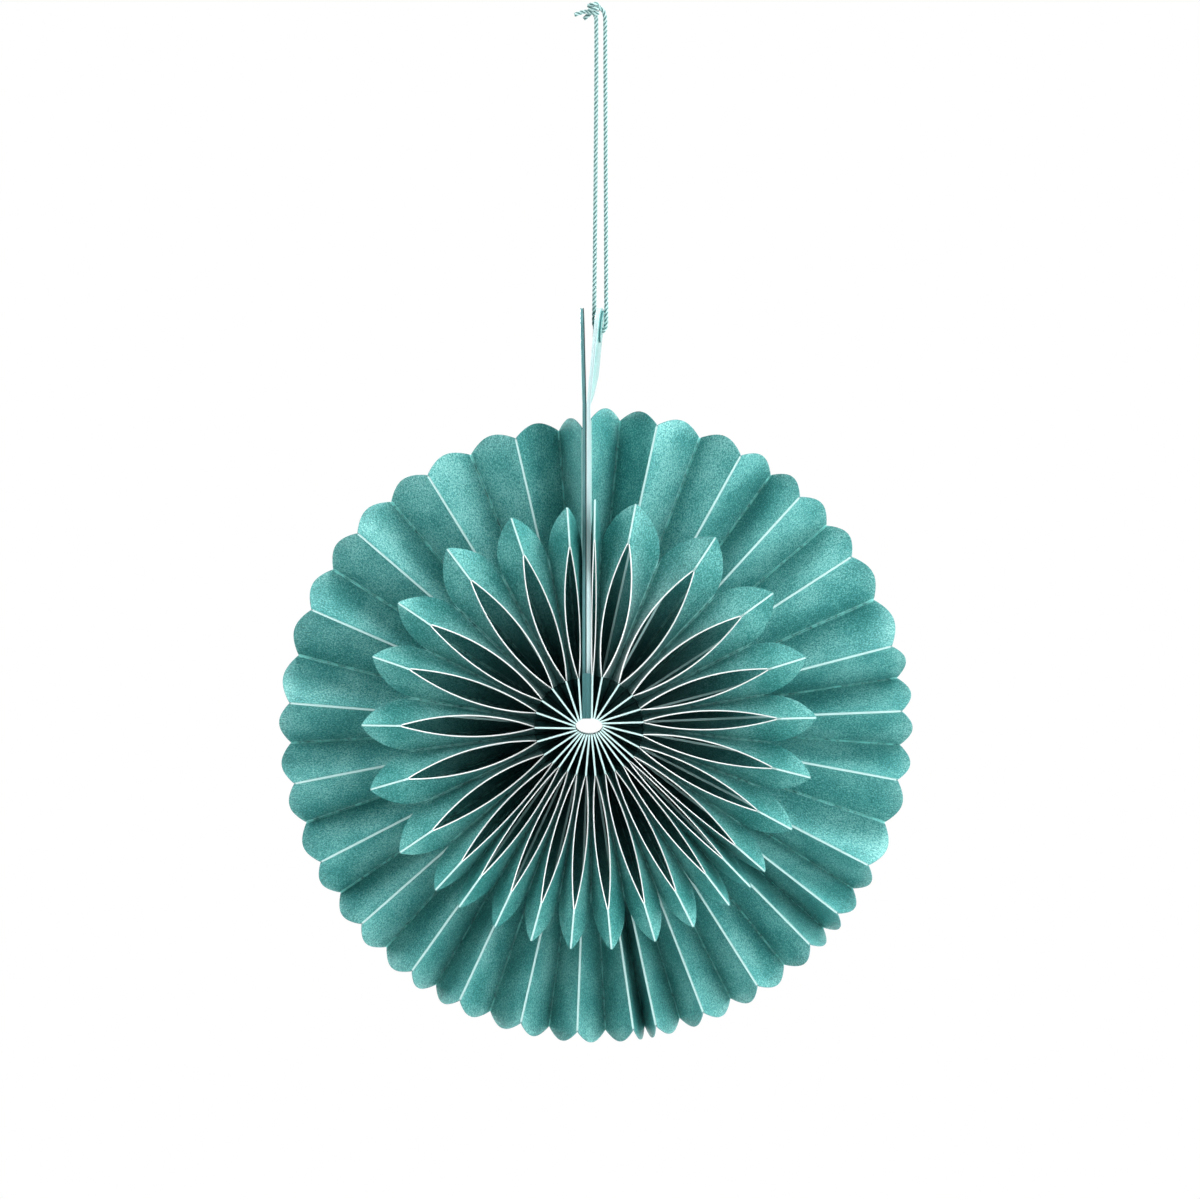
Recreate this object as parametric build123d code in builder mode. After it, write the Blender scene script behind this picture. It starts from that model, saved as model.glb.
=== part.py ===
"""A hanging paper fan medallion: two layers of die-cut sheets opened into a full round between two cards.

Millimetres, +Z up, the front faces -Y. The origin is inside the top of the hanging loop, where a hook bears.
Heights and sides on the fan are measured from the centre of its rim, and depths from the middle of the stack.
"""

import math
import os
from dataclasses import dataclass

from build123d import *

os.makedirs("parts", exist_ok=True)

# where the rim's centre hangs, seen from the hook
fan_side = -1.7
fan_drop = 224.4

# both layers
sheet = 0.35
layer_gap = 0.5
fold_margin = 0.15
hub_side = -2.0
hub_flat = 0.6

# rear layer: scalloped sheets, the full size of the fan
rear_width = 20.0
rear_rim_depth = 16.0
rim_tip = 100.0
rim_notch = 96.4
scallop_chords = 8
rear_ridges = [
    11.6, 28.3, 41.8, 56.6, 75.0, 87.3, 100.2, 117.1, 127.8, 135.6, 148.1, 159.4, 168.6,
    172.9, 183.4, 194.1, 206.3, 216.8, 229.7, 243.6, 259.1, 274.2, 292.2, 309.1, 326.8, 344.9,
]

# front layer: petal sheets with a lens cut out of every ridge
petal_width = 15.0
petal_end_depth = 12.5
petal_tip = 71.0
petal_valley = 54.0
lens_start = 16.5
lens_end = 58.5
lens_middle = 35.0
lens_share = 0.62
end_bulge = 0.75
end_chords = 7
lens_chords = 9
petal_ridges = [
    4.4, 11.9, 33.8, 54.1, 72.4, 87.8, 103.0, 116.9, 130.0, 135.8, 143.3, 154.1, 164.4, 175.6,
    185.9, 196.1, 205.9, 216.1, 223.3, 236.3, 253.9, 270.3, 287.9, 302.9, 321.4, 340.0, 353.4,
]

# cards at the two ends of the stack, with the tabs above the rim
card = 1.3
tab_top = 131.0
tab_width = 20.0
tab_corner = 6.0
tab_bend = 101.0
tab_lean = 5.5
cord_hole_radius = 1.1
cord_hole_height = 123.7

# cord
cord_diameter = 1.3
cord_route = [
    (-1.5, 0.0, -1.75),
    (-2.5, 0.0, -100.85),
    (1.7, 0.0, -100.85),
    (1.35, 0.0, 0.8),
    (-0.7, 0.0, 0.8),
]
cord_radii = [1.89, 1.89, 1.9]
knot_centre = (-2.6, 0.0, 0.66)
knot_radius = 1.9
knot_height = 4.8
knot_chamfer = 0.5
tails = [
    ((-3.4, -0.3, 0.2), (-8.2, -0.2, -1.2)),
    ((-3.2, 0.5, -0.6), (-5.3, 0.8, -2.4)),
]

# the stack's depth, and the hub that the sheets' edges close round
stack = rear_width + layer_gap + petal_width
rear_middle = stack / 2 - rear_width / 2
petal_middle = petal_width / 2 - stack / 2
leaf_count = 2 * len(rear_ridges) + 2
hub_radius = (leaf_count * sheet + 2 * card) / (2 * math.pi)
hub_wide = hub_radius * 2 / (1 + hub_flat)
hub_high = hub_wide * hub_flat
centre = Vector(fan_side, 0, -fan_drop)
hub = centre + Vector(hub_side, 0, 0)
spare = 1.0
overreach = 0.1


def clock(middle: Vector, radius: float, degrees: float) -> Vector:
    """A point on a circle seen from the front, by its angle clockwise from the top."""
    turn = math.radians(degrees)
    return middle + Vector(radius * math.sin(turn), 0, radius * math.cos(turn))


def card_angles(middle: Vector, radius: float) -> tuple[float, float]:
    """Where the outer faces of the right and left cards cross a circle, clockwise from the top."""
    side = hub.X - middle.X
    right = math.degrees(math.asin((side + card) / radius))
    left = math.degrees(math.asin((side - card) / radius))
    return right, 360 + left


def with_midpoints(angles: list[float]) -> list[float]:
    """The same angles with one more midway between each two."""
    row = [angles[0]]
    for before, after in zip(angles, angles[1:]):
        row += [(before + after) / 2, after]
    return row


@dataclass
class Leaf:
    """Corners of one bent sheet, on the side that faces the sheet before it, and the step to its other side."""

    inner: Vector
    across: Vector
    ridge_edge: Vector
    ridge_end: Vector
    valley_edge: Vector
    valley_end: Vector

    @property
    def reach(self) -> float:
        """Length of the slanted face, from the hub to the line between the two folds' ends."""
        return ((self.ridge_end + self.valley_end) / 2 - self.inner).length

    @property
    def half_depth(self) -> float:
        """Half the depth of the slanted face at the folds' ends."""
        return (self.valley_end.Y - self.ridge_end.Y) / 2

    def crease(self, along: float) -> float:
        """How far in front of the layer's middle the slanted face meets the ridge, at a distance from the hub."""
        return self.half_depth * along / self.reach


def leaf_between(step: int, folds: list[Vector], ridge_first: bool, middle: float, width: float, end: float) -> Leaf:
    """The sheet from one fold to the next, edge-on at the hub and as deep as its layer at the rim."""
    rim = (folds[step] + folds[step + 1]) / 2
    square = (rim - hub_points[step]).cross(Vector(0, -1, 0)).normalized()
    next_normal = (folds[step + 1] - hub_points[step + 1]).cross(Vector(0, 1, 0))
    over = hub_points[step + 1] - hub_points[step]
    across = square * (over.dot(next_normal) / square.dot(next_normal))
    first_end, next_end = folds[step], folds[step + 1] - across
    ridge_end, valley_end = (first_end, next_end) if ridge_first else (next_end, first_end)
    inner = hub_points[step] + Vector(0, middle, 0)
    return Leaf(
        inner=inner,
        across=across,
        ridge_edge=inner - Vector(0, width / 2, 0),
        ridge_end=ridge_end + Vector(0, middle - end / 2, 0),
        valley_edge=inner + Vector(0, width / 2, 0),
        valley_end=valley_end + Vector(0, middle + end / 2, 0),
    )


def bent_sheet(leaf: Leaf) -> Part:
    """A sheet without its outline: two triangles flat against its neighbours, and a slanted one past the rim."""
    ridge_reach = leaf.ridge_end + (leaf.ridge_end - leaf.inner) * overreach
    valley_reach = leaf.valley_end + (leaf.valley_end - leaf.inner) * overreach
    with BuildPart() as bent:
        for corners in (
            (leaf.inner, leaf.ridge_edge, leaf.ridge_end),
            (leaf.inner, ridge_reach, valley_reach),
            (leaf.inner, leaf.valley_end, leaf.valley_edge),
        ):
            with BuildLine() as outline:
                Polyline(*corners, close=True)
            extrude(Face(outline.wire()), amount=leaf.across.length, dir=leaf.across)
    return bent.part


def outline_plane(leaf: Leaf) -> Plane:
    """The plane that a sheet's outline is drawn on: x outwards from the hub, y towards the front."""
    outwards = (leaf.ridge_end + leaf.valley_end) / 2 - leaf.inner
    return Plane(origin=leaf.inner, x_dir=outwards, z_dir=outwards.cross(Vector(0, -1, 0)))


def chords(start: tuple, middle: tuple, finish: tuple, count: int) -> list[Vector]:
    """Points along an arc through three points, few enough to keep the many sheets light."""
    arc = ThreePointArc(start, middle, finish)
    return [arc @ (step / count) for step in range(count + 1)]


def round_hub(share: float) -> Vector:
    """A point on the flattened hub, by its share of the turn from the right card to the left card."""
    first = math.asin(card / hub_wide)
    turn = first + 2 * (math.pi - first) * share
    return hub + Vector(hub_wide * math.sin(turn), 0, hub_high * math.cos(turn))


def even_points(count: int, fine: int) -> list[Vector]:
    """Points round the hub at even distances, because every sheet is as thick as the next."""
    trail = [round_hub(place / fine) for place in range(fine + 1)]
    run = [0.0]
    for before, after in zip(trail, trail[1:]):
        run.append(run[-1] + (after - before).length)
    points = []
    place = 0
    for step in range(count):
        while run[place + 1] < run[-1] * step / count:
            place += 1
        over = (run[-1] * step / count - run[place]) / (run[place + 1] - run[place])
        points.append(trail[place] + (trail[place + 1] - trail[place]) * over)
    return points + [trail[-1]]


hub_points = even_points(leaf_count, 2000)

# rear layer, from a ridge on the right card round to a ridge on the left card
right_angle, left_angle = card_angles(centre, rim_notch)
rear_angles = with_midpoints([right_angle] + rear_ridges + [left_angle])
rear_folds = [clock(centre, rim_notch, angle) for angle in rear_angles]
scallop_rise = rim_tip - rim_notch
rear_leaves = []
for step in range(leaf_count):
    leaf = leaf_between(step, rear_folds, step % 2 == 0, rear_middle, rear_width, rear_rim_depth)
    end_height = leaf.half_depth + fold_margin
    scallop = chords(
        (leaf.reach, -end_height),
        (leaf.reach + scallop_rise, 0),
        (leaf.reach, end_height),
        scallop_chords,
    )
    with BuildPart() as rear_leaf:
        add(bent_sheet(leaf))
        with BuildSketch(outline_plane(leaf)):
            with BuildLine():
                Polyline(
                    *scallop,
                    (leaf.reach, rear_width),
                    (-hub_radius, rear_width),
                    (-hub_radius, -rear_width),
                    (leaf.reach, -rear_width),
                    close=True,
                )
            make_face()
        extrude(amount=rim_tip, both=True, mode=Mode.INTERSECT)
    rear_leaves.append(rear_leaf.part.solid())
rear_fan = Compound(rear_leaves)
rear_fan.label = "rear_fan"
export_step(rear_fan, "parts/rear_fan.step")

# front layer, from a valley on the right card round to a valley on the left card
right_angle, left_angle = card_angles(hub, petal_tip)
petal_angles = [right_angle] + with_midpoints(petal_ridges) + [left_angle]
petal_folds = [clock(hub, petal_tip, angle) for angle in petal_angles]
petal_leaves = []
for step in range(leaf_count):
    leaf = leaf_between(step, petal_folds, step % 2 == 1, petal_middle, petal_width, petal_end_depth)
    inset = leaf.reach - petal_tip
    valley, tip = petal_valley + inset, leaf.reach
    lens_in, lens_mid, lens_out = lens_start + inset, lens_middle + inset, lens_end + inset
    end_curve = chords(
        (valley, fold_margin - leaf.crease(valley)),
        (valley + end_bulge * (tip - valley), 0),
        (tip, leaf.half_depth),
        end_chords,
    )
    lens_curve = chords(
        (lens_out, leaf.crease(lens_out) - fold_margin),
        (lens_mid, leaf.crease(lens_mid) * (1 - 2 * lens_share)),
        (lens_in, leaf.crease(lens_in) - fold_margin),
        lens_chords,
    )
    with BuildPart() as petal_leaf:
        add(bent_sheet(leaf))
        with BuildSketch(outline_plane(leaf)):
            with BuildLine():
                Polyline(
                    *end_curve,
                    (tip, petal_width),
                    (lens_out, petal_width),
                    *lens_curve,
                    (lens_in, petal_width),
                    (-hub_radius, petal_width),
                    (-hub_radius, -petal_width),
                    (valley, -petal_width),
                    close=True,
                )
            make_face()
        extrude(amount=petal_tip, both=True, mode=Mode.INTERSECT)
    petal_leaves.append(petal_leaf.part.solid())
petal_fan = Compound(petal_leaves)
petal_fan.label = "petal_fan"
export_step(petal_fan, "parts/petal_fan.step")

# outline of a card from the side: x to the back, y up
card_foot = round_hub(0).Z - hub.Z
card_plane = Plane(origin=hub, x_dir=(0, 1, 0), z_dir=(1, 0, 0))
with BuildSketch(card_plane) as card_outline:
    with BuildLine():
        Polyline(
            (-stack / 2, card_foot),
            (-stack / 2, lens_start),
            (petal_middle, lens_start),
            (petal_middle, tab_bend),
            (-tab_width / 2, tab_bend),
            (-tab_width / 2, tab_top),
            (tab_width / 2, tab_top),
            (tab_width / 2, tab_bend + spare),
            (stack / 2, rim_notch),
            (stack / 2, card_foot),
            close=True,
        )
    make_face()
    fillet(card_outline.vertices().group_by(Axis.Y)[-1], radius=tab_corner)

# left card, flat from the hub to the top of its tab
with BuildPart() as left_card:
    extrude(card_outline.sketch, amount=-card)
left_card.part.label = "left_card"
export_step(left_card.part, "parts/left_card.step")

# right card, its tab bent away from the other one above the rim, with the hole for the cord
tab_shift = math.tan(math.radians(tab_lean)) * (tab_top - tab_bend)
with BuildPart() as right_card:
    with BuildSketch(Plane(origin=hub, x_dir=(1, 0, 0), z_dir=(0, -1, 0))):
        with BuildLine():
            Polyline(
                (0, card_foot),
                (card, card_foot),
                (card, tab_bend),
                (card + tab_shift, tab_top),
                (tab_shift, tab_top),
                (0, tab_bend),
                close=True,
            )
        make_face()
    extrude(amount=stack, both=True)
    extrude(card_outline.sketch, amount=card + tab_shift, mode=Mode.INTERSECT)
    with BuildSketch(card_plane):
        with Locations((0, cord_hole_height)):
            Circle(cord_hole_radius)
    extrude(amount=card + tab_shift, mode=Mode.SUBTRACT)
right_card.part.label = "right_card"
export_step(right_card.part, "parts/right_card.step")

# cord, from the underside of the knot down through the hole and back up over the hook to the knot
with BuildPart() as hanging_cord:
    with BuildLine() as cord_line:
        FilletPolyline(*cord_route, radius=cord_radii)
    with BuildSketch(Plane(origin=cord_line.line @ 0, z_dir=cord_line.line % 0)):
        Circle(cord_diameter / 2)
    sweep()
hanging_cord.part.label = "hanging_cord"
export_step(hanging_cord.part, "parts/hanging_cord.step")
cord_length = cord_line.wire().length
tube_share = hanging_cord.part.volume / (math.pi * cord_diameter**2 / 4 * cord_length)
print("cord bend radii", cord_radii, "length", round(cord_length, 1))
print("tube volume over section times length", round(tube_share, 4))

# knot of the two ends, with its tails
with BuildPart() as cord_knot:
    with Locations(knot_centre):
        Cylinder(knot_radius, knot_height)
    chamfer(cord_knot.edges().filter_by(GeomType.CIRCLE), length=knot_chamfer)
    for start, finish in tails:
        with BuildSketch(Plane(origin=start, z_dir=Vector(finish) - Vector(start))):
            Circle(cord_diameter / 2)
        extrude(amount=(Vector(finish) - Vector(start)).length)
cord_knot.part.label = "cord_knot"
export_step(cord_knot.part, "parts/cord_knot.step")
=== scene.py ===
"""Visual model of a hanging paper fan medallion: die-cut pearl paper sheets, two cover cards, a twisted cord."""
import logging
import math
from bisect import bisect_left
from dataclasses import dataclass, field
from enum import Enum

import bpy
from bpy.types import Material, Node, NodeSocket, NodeTree, Object
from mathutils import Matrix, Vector
from mathutils.kdtree import KDTree


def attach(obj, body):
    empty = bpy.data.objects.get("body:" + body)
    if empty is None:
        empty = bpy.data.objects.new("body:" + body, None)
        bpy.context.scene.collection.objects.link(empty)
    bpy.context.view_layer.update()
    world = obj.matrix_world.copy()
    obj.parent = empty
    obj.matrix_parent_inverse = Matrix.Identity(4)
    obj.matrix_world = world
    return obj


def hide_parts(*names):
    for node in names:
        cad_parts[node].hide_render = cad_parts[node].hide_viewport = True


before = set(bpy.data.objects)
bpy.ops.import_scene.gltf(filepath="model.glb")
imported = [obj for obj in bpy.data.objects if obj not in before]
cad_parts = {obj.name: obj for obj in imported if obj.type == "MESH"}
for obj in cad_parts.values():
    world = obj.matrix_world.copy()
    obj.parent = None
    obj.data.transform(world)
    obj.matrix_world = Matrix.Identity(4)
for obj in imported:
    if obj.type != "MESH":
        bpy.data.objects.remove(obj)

logging.basicConfig(level=logging.INFO, format="%(levelname)s %(message)s")
log = logging.getLogger("paper_fan_medallion")

MM = 0.001
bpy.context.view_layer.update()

# sizes shared by the pieces, in millimetres, as in the part's source
RIM_CENTRE = Vector((-1.7, 0.0, -224.4))
HUB = RIM_CENTRE + Vector((-2.0, 0.0, 0.0))
STACK = 35.5
SHEET = 0.35
CARD = 1.3
LEAVES = 54
HUB_RADIUS = (LEAVES * SHEET + 2 * CARD) / (2 * math.pi)
HUB_FLAT = 0.6
HUB_WIDE = HUB_RADIUS * 2 / (1 + HUB_FLAT)
HUB_HIGH = HUB_WIDE * HUB_FLAT

# the photographed joint between the cards lies this far beside the source's, in millimetres
CARD_SIDE = -0.8
# a distance that stands for no cut nearby, in millimetres
FAR = 9.0
HUB_STEPS = 2000
FIBRE_IOR = 1.5


class Side(Enum):
    """Which of the two cover cards a piece belongs to, as its sign along X."""

    LEFT = -1
    RIGHT = 1


def linear(hex_colour: str) -> tuple[float, float, float, float]:
    """Turn an sRGB hex colour into linear RGBA.

    Args:
        hex_colour: Six hex digits with a leading hash.

    Returns:
        Linear red, green, blue and an alpha of 1.
    """
    channels = [int(hex_colour[i:i + 2], 16) / 255 for i in (1, 3, 5)]
    straight = [c / 12.92 if c <= 0.04045 else ((c + 0.055) / 1.055) ** 2.4 for c in channels]
    return (*straight, 1.0)


def fill(tree: NodeTree, node: Node, inputs: dict) -> None:
    """Fill or link a node's inputs.

    Args:
        tree: The node's tree.
        node: The node.
        inputs: Values or output sockets, by the input's name or number.
    """
    for name, value in inputs.items():
        if isinstance(value, NodeSocket):
            tree.links.new(value, node.inputs[name])
        else:
            node.inputs[name].default_value = value


def add_node(tree: NodeTree, kind: str, settings: dict | None = None, inputs: dict | None = None) -> Node:
    """Add a node, set its properties, and fill or link its inputs.

    Args:
        tree: The node tree that takes the node.
        kind: The node's type name.
        settings: Properties of the node, by name.
        inputs: Values or output sockets, by the input's name or number.

    Returns:
        The new node.
    """
    node = tree.nodes.new(kind)
    for name, value in (settings or {}).items():
        setattr(node, name, value)
    fill(tree, node, inputs or {})
    return node


def new_material(name: str) -> tuple[Material, NodeTree, Node]:
    """Make an empty node material.

    Args:
        name: The material's name.

    Returns:
        The material, its node tree and its Principled shader, already linked to the output.
    """
    material = bpy.data.materials.new(name)
    material.use_nodes = True
    tree = material.node_tree
    tree.nodes.clear()
    shader = add_node(tree, "ShaderNodeBsdfPrincipled")
    add_node(tree, "ShaderNodeOutputMaterial", None, {"Surface": shader.outputs["BSDF"]})
    return material, tree, shader


def point_value(tree: NodeTree, attribute: str, axis: str) -> NodeSocket:
    """Read one axis of a vector that the sheets' points carry, in millimetres."""
    vector = add_node(tree, "ShaderNodeAttribute", {"attribute_name": attribute}).outputs["Vector"]
    return add_node(tree, "ShaderNodeSeparateXYZ", None, {0: vector}).outputs[axis]


def calc(tree: NodeTree, operation: str, first: NodeSocket, second: NodeSocket | float = 0.0) -> NodeSocket:
    """Work out one or two numbers by a math node's operation."""
    return add_node(tree, "ShaderNodeMath", {"operation": operation}, {0: first, 1: second}).outputs[0]


def mapped(
    tree: NodeTree, value: NodeSocket, start: float, end: float, low: float = 0.0, high: float = 1.0,
    smooth: bool = False,
) -> NodeSocket:
    """Map a value from start to end onto low to high, held at both ends, and eased if smooth."""
    return add_node(tree, "ShaderNodeMapRange", {"interpolation_type": "SMOOTHSTEP" if smooth else "LINEAR"}, {
        "Value": value, "From Min": start, "From Max": end, "To Min": low, "To Max": high,
    }).outputs["Result"]


def mixed(tree: NodeTree, share: NodeSocket, first: NodeSocket | str, second: NodeSocket | str) -> NodeSocket:
    """Mix two colours, each a socket or a hex colour, by the second one's share."""
    ends = [linear(colour) if isinstance(colour, str) else colour for colour in (first, second)]
    return add_node(tree, "ShaderNodeMix", {"data_type": "RGBA"}, {
        "Factor": share, 6: ends[0], 7: ends[1]}).outputs[2]


def noise(
    tree: NodeTree, cell_mm: float, detail: float, roughness: float = 0.5, drawn: tuple = (1.0, 1.0, 1.0),
) -> NodeSocket:
    """Noise on Object coordinates, which may be drawn out first; its scale is cells per metre."""
    place = add_node(tree, "ShaderNodeTexCoord").outputs["Object"]
    place = add_node(tree, "ShaderNodeMapping", None, {"Vector": place, "Scale": drawn}).outputs["Vector"]
    return add_node(tree, "ShaderNodeTexNoise", None, {
        "Vector": place, "Scale": 1 / (cell_mm * MM), "Detail": detail, "Roughness": roughness,
    }).outputs["Fac"]


def three_tones(tree: NodeTree, value: NodeSocket, places: tuple, tones: tuple) -> NodeSocket:
    """Colour a value along a ramp.

    Args:
        tree: The material's node tree.
        value: The value.
        places: Where the three tones lie on the ramp, in order.
        tones: The three hex colours.

    Returns:
        The colour.
    """
    ramp = add_node(tree, "ShaderNodeValToRGB", None, {"Fac": value})
    elements = ramp.color_ramp.elements
    elements[0].position, elements[1].position = places[0], places[2]
    elements.new(places[1])
    for element, tone in zip(elements, tones):
        element.color = linear(tone)
    return ramp.outputs["Color"]


def raised(tree: NodeTree, height: NodeSocket, strength: float, depth_mm: float) -> NodeSocket:
    """The normal of a surface whose grain stands out by a depth."""
    return add_node(tree, "ShaderNodeBump", None, {
        "Strength": strength, "Distance": depth_mm * MM, "Height": height}).outputs["Normal"]


@dataclass(frozen=True)
class PearlPaper:
    """Dyed wood-free paper with a pearl coat, offset printed: a soft metallic sheen broken by a fine grain."""

    name: str = "pearl_coated_paper"
    deep: str = "#287472"
    body: str = "#459896"
    pale: str = "#80c1be"
    tone_places: tuple = (0.45, 0.6, 0.75)
    grain_mm: float = 0.5
    grain_share: float = 0.9
    cloud_mm: float = 14.0
    cloud_share: float = 0.3
    # painted glints: the pale colour of specks that stand in for the pearl coat's sparkle
    speck: str = "#a2ddd8"
    glint_mm: float = 0.42
    glint_range: tuple = (0.56, 0.66)
    patch_range: tuple = (0.42, 0.62)
    patch_share: tuple = (0.06, 0.6)
    # whether this is a die-cut and folded sheet: then its cuts show the bare core, its folds a broken pale line that
    # is partly the glue line and partly a painted glint, and painted shade darkens it towards the hub
    trimmed: bool = True
    core: str = "#eef4f3"
    edge_mm: float = 0.22
    # the pale broken line along the folds: partly the glue line, partly a painted glint, bright enough to show in
    # the crease's shade
    rubbed: str = "#a8ece8"
    fold_mm: float = 0.5
    fleck_mm: float = 1.6
    fleck_range: tuple = (0.34, 0.52)
    fold_line_inside: float = 0.06
    # painted shade: towards the hub the colour darkens to this near-black, keeping only a share of its own colour,
    # for the shade deep in the folds
    hub_shade_colour: str = "#000d0d"
    inner_mm: float = 10.0
    outer_mm: float = 60.0
    hub_shade_kept: float = 0.25
    roughness: float = 0.42
    gloss_spread: float = 0.1
    metallic: float = 0.12
    specular: float = 0.35
    coat: float = 0.25
    coat_roughness: float = 0.35
    bump: float = 0.9
    bump_mm: float = 0.16

    def from_hub(self, tree: NodeTree, start: float, low: float, smooth: bool = False) -> NodeSocket:
        """A share that rises from low, at a distance from the hub edge, to 1 at the outer distance."""
        return mapped(tree, point_value(tree, "fold_mm", "Z"), start, self.outer_mm, low, smooth=smooth)

    def painted_hub_shade(self, tree: NodeTree, colour: NodeSocket) -> NodeSocket:
        """Paint shade towards the hub: the colour darkens to a near-black there, for the shade deep in the folds."""
        share = self.from_hub(tree, self.inner_mm, self.hub_shade_kept, smooth=True)
        return mixed(tree, share, self.hub_shade_colour, colour)

    def painted_glints(self, tree: NodeTree, colour: NodeSocket) -> NodeSocket:
        """Paint glints of the pearl pigment in loose patches: pale specks that stand in for the coat's sparkle where
        light grazes it.

        Args:
            tree: The paper's node tree.
            colour: The colour of the coat.

        Returns:
            The colour with its painted glints.
        """
        patch = mapped(tree, noise(tree, self.cloud_mm, 1.0), *self.patch_range, *self.patch_share)
        bright = mapped(tree, noise(tree, self.glint_mm, 1.0), *self.glint_range)
        share = calc(tree, "MULTIPLY", patch, bright)
        if self.trimmed:
            share = calc(tree, "MULTIPLY", share, self.from_hub(tree, self.outer_mm / 2, 0.0))
        return mixed(tree, share, colour, self.speck)

    def bare_cuts_and_fold_glints(self, tree: NodeTree, colour: NodeSocket) -> NodeSocket:
        """Lay bare the white core beside the die's cuts, and draw a broken pale line along the folds: partly the
        glue line, partly a painted glint.

        Args:
            tree: The paper's node tree.
            colour: The colour of the coat.

        Returns:
            The colour with its bare cuts and its pale fold line.
        """
        from_cut = point_value(tree, "cut_mm", "X")
        band = mapped(tree, from_cut, self.edge_mm * 0.6, self.edge_mm * 1.4, 1.0, 0.0, smooth=True)
        colour = mixed(tree, band, colour, self.core)
        # a broken pale line along the folds: partly the glue line, partly a painted glint
        from_fold = calc(tree, "ABSOLUTE", point_value(tree, "fold_mm", "X"))
        line = mapped(tree, from_fold, self.fold_mm * 0.5, self.fold_mm * 1.3, 1.0, 0.0, smooth=True)
        broken = mapped(tree, noise(tree, self.fleck_mm, 3.0, 0.7), *self.fleck_range)
        outside = self.from_hub(tree, self.inner_mm, self.fold_line_inside)
        glue_and_glint = calc(tree, "MULTIPLY", line, calc(tree, "MULTIPLY", broken, outside))
        return mixed(tree, glue_and_glint, colour, self.rubbed)

    def material(self) -> Material:
        """Build the paper.

        Returns:
            A material that reads Object coordinates and each point's distances to the cuts and the folds.
        """
        material, tree, shader = new_material(self.name)
        grain = noise(tree, self.grain_mm, 2.0, 0.6)
        cloud = noise(tree, self.cloud_mm, 2.0)
        mottle = calc(
            tree, "ADD", calc(tree, "MULTIPLY", cloud, self.cloud_share),
            calc(tree, "MULTIPLY", grain, self.grain_share))
        colour = three_tones(tree, mottle, self.tone_places, (self.deep, self.body, self.pale))
        # painted glints over the paper's grain
        colour = self.painted_glints(tree, colour)
        if self.trimmed:
            # painted shade towards the hub first, then the bare cuts and the pale fold line over it
            colour = self.bare_cuts_and_fold_glints(tree, self.painted_hub_shade(tree, colour))
        smoothest, roughest = self.roughness - self.gloss_spread, self.roughness + self.gloss_spread
        fill(tree, shader, {
            "Base Color": colour, "Metallic": self.metallic, "IOR": FIBRE_IOR, "Specular IOR Level": self.specular,
            "Coat Weight": self.coat, "Coat Roughness": self.coat_roughness,
            "Roughness": mapped(tree, grain, 0.3, 0.7, smoothest, roughest),
            "Normal": raised(tree, grain, self.bump, self.bump_mm),
        })
        return material


@dataclass(frozen=True)
class PaperCore:
    """The undyed core of the sheet, laid bare where the die cuts it: matt, near white, with a torn fibre speckle."""

    name: str = "cut_paper_core"
    white: str = "#f2f7f6"
    straight: str = "#d3ebea"
    outer: str = "#8cc2c0"
    fibre_mm: float = 0.5
    fibre_share: float = 0.3
    cut_mm: float = 0.6
    roughness: float = 0.75

    def valley_ends(self, tree: NodeTree) -> NodeSocket:
        """The outer cut's colour, with a bare white speck where two sheets meet at the end of a valley."""
        from_fold = calc(tree, "ABSOLUTE", point_value(tree, "fold_mm", "X"))
        return mixed(tree, mapped(tree, from_fold, self.cut_mm, self.cut_mm * 2), self.white, self.outer)

    def near_cut(self, tree: NodeTree, axis: str) -> NodeSocket:
        """1 on the lens cut (axis X) or on the outer cut (axis Y), and 0 away from it."""
        return mapped(tree, point_value(tree, "cut_mm", axis), self.cut_mm / 2, self.cut_mm, 1.0, 0.0)

    def material(self) -> Material:
        """Build the edge.

        Returns:
            A material that is white on the die's cuts, and tinted by the coat on the sheet's straight edges.
        """
        material, tree, shader = new_material(self.name)
        straight = mixed(tree, self.near_cut(tree, "Y"), self.straight, self.valley_ends(tree))
        fibre = noise(tree, self.fibre_mm, 2.0)
        bare = calc(tree, "SUBTRACT", self.near_cut(tree, "X"), self.fibre_share / 2)
        torn = calc(tree, "ADD", calc(tree, "MULTIPLY", fibre, self.fibre_share), bare)
        fill(tree, shader, {
            "Base Color": mixed(tree, torn, straight, self.white), "Roughness": self.roughness, "IOR": FIBRE_IOR})
        return material


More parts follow.
